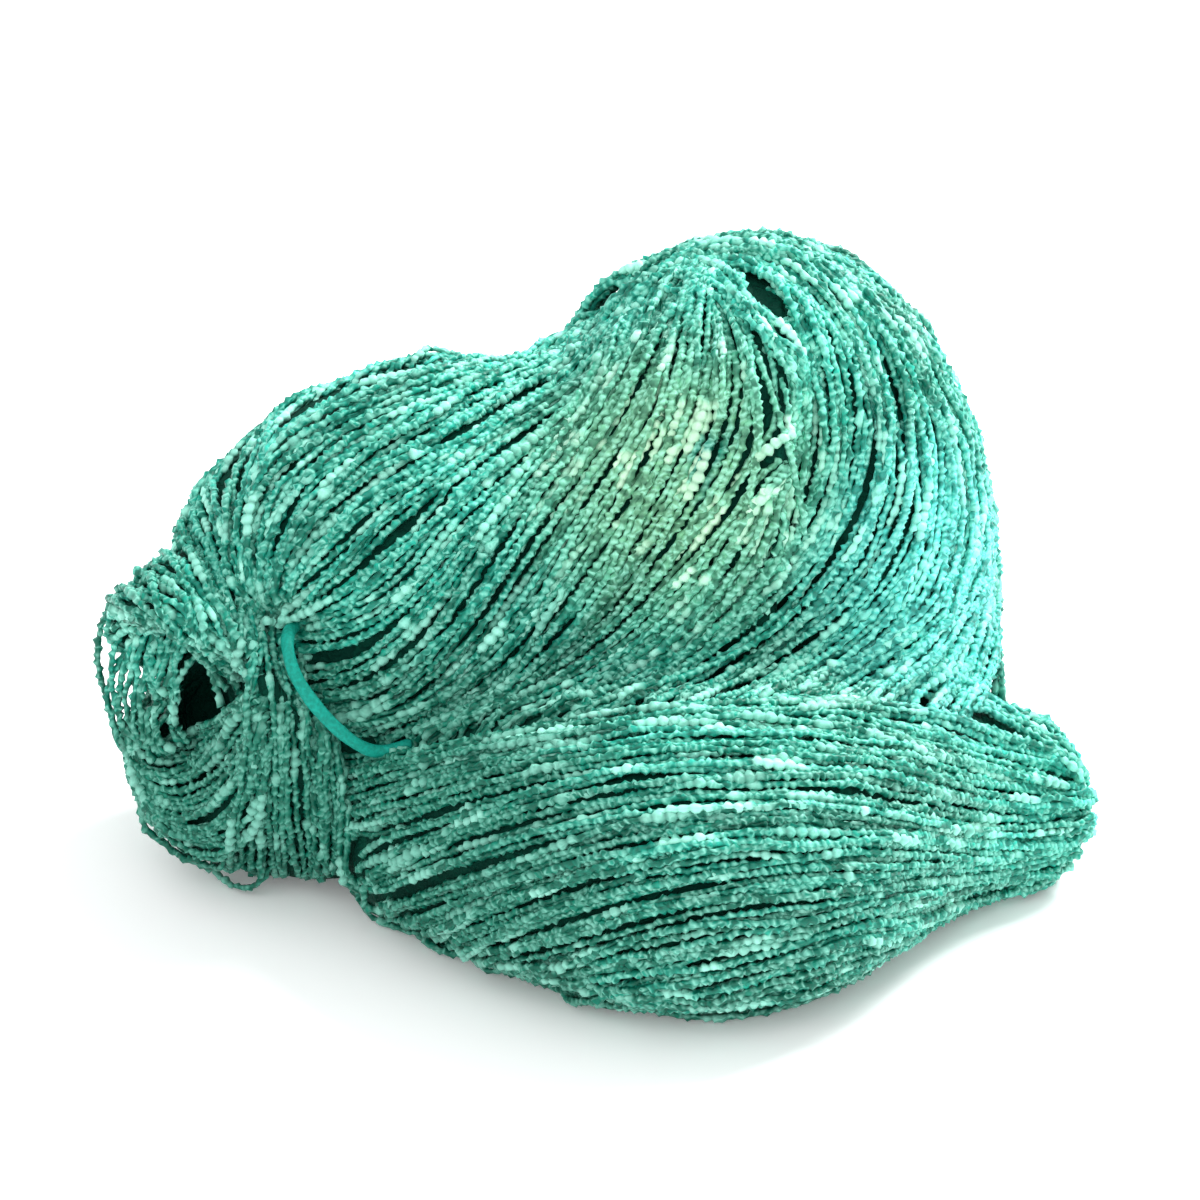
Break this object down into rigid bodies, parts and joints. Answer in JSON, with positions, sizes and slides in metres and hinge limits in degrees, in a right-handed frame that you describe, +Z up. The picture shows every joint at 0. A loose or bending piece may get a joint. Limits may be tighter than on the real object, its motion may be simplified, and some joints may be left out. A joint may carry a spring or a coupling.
{
  "type": "hank of slub yarn",
  "caption": "Large hank of teal slub yarn, loosely twisted and folded back on itself into an upper and a lower run, with an open loop end and a smooth tie at its waist.",
  "frame": {"origin": "under the middle of the hank's box, on the surface that it lies on", "axes": "+X along the hank's length, from its open loop end to its turned end; -Y is the front, where the lower run lies; +Z up"},
  "size_m": [0.281, 0.2148, 0.1716],
  "materials": {
    "yarn": "twisted slub yarn, hand-dyed teal to pale aqua, matt with a soft sheen on the slubs",
    "tie_cord": "smooth soft cord, deep teal, matt"
  },
  "bodies": {
    "root": {"hank": "yarn", "tie": "tie_cord"}
  },
  "joints": []
}
